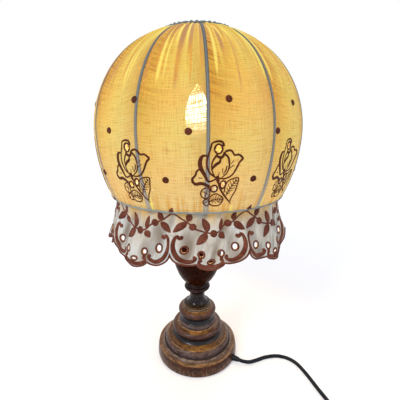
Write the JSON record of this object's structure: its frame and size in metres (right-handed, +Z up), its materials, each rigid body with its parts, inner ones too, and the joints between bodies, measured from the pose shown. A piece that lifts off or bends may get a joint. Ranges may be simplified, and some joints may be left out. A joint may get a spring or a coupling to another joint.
{
  "type": "bedside lamp",
  "caption": "Bedside lamp with a turned wooden base, a lit dome shade of gathered cloth with a scalloped skirt, and a mains cord with an inline rocker switch.",
  "frame": {"origin": "on the floor, under the middle of the foot", "axes": "+Z up along the column, -Y towards the front, +X towards the side where the cord leaves the foot"},
  "size_m": [0.3546, 0.4214, 0.5225],
  "materials": {
    "felt": "felt",
    "foot_wood": "worn lacquer",
    "dark_wood": "dark stained lacquer",
    "steel": "zinc plated",
    "brass": "satin",
    "frame_wire": "grey lacquer",
    "shade_cloth": "gathered cotton, lit from inside",
    "frill_cloth": "ruched cotton",
    "skirt_cloth": "embroidered cotton",
    "bulb_glass": "frosted, lit",
    "filament": "lit",
    "ceramic": "unglazed",
    "wire_insulation": "smooth",
    "cord_rubber": "satin",
    "dark_plastic": "fine grain"
  },
  "bodies": {
    "lamp": {"felt_pad": "felt", "foot": "foot_wood", "collar": "dark_wood", "stem": "dark_wood", "urn": "dark_wood", "neck": "dark_wood", "threaded_tube": "steel", "foot_washer": "steel", "foot_nut": "steel", "cord_gland": "cord_rubber", "core_wires": "wire_insulation", "holder_cap": "brass", "holder_nut": "steel", "holder_shell": "brass", "holder_insert": "ceramic", "thread_sleeve": "brass", "centre_contact": "brass", "side_contact": "brass", "terminals": "brass", "terminal_screws": "steel", "seat_ring": "brass", "cord_run": "cord_rubber", "switch_base": "dark_plastic", "switch_cover": "dark_plastic", "switch_screws": "steel", "switch_contacts": "brass", "cord_coil": "cord_rubber", "cord_tie": "dark_plastic", "plug_body": "dark_plastic", "plug_pins": "brass"},
    "shade": {"fitter_ring": "frame_wire", "fitter_arms": "frame_wire", "top_ring": "frame_wire", "bottom_ring": "frame_wire", "frame_ribs": "frame_wire", "shade_cover": "shade_cloth", "top_frill": "frill_cloth", "bottom_binding": "frill_cloth", "skirt": "skirt_cloth"},
    "clamp": {"clamp_ring": "brass"},
    "bulb": {"bulb_glass": "bulb_glass", "bulb_cap": "brass", "bulb_insulator": "dark_plastic", "bulb_contact": "steel", "bulb_filament": "filament"},
    "rocker": {"switch_rocker": "dark_plastic"}
  },
  "joints": [
    {"name": "shade_swivel", "type": "hinge", "parent": "lamp", "child": "shade", "pos_m": [0, 0, 0.349], "axis": [0, 0, 1], "continuous": true},
    {"name": "clamp_ring_turn", "type": "hinge", "parent": "lamp", "child": "clamp", "pos_m": [0, 0, 0.355], "axis": [0, 0, 1], "range_deg": [0, 1080]},
    {"name": "bulb_screw", "type": "hinge", "parent": "lamp", "child": "bulb", "pos_m": [0, 0, 0.37], "axis": [0, 0, 1], "range_deg": [0, 1080]},
    {"name": "rocker_tilt", "type": "hinge", "parent": "lamp", "child": "rocker", "pos_m": [0.192, -0.155, 0.0136], "axis": [1, 0, 0], "range_deg": [-18, 0]}
  ]
}
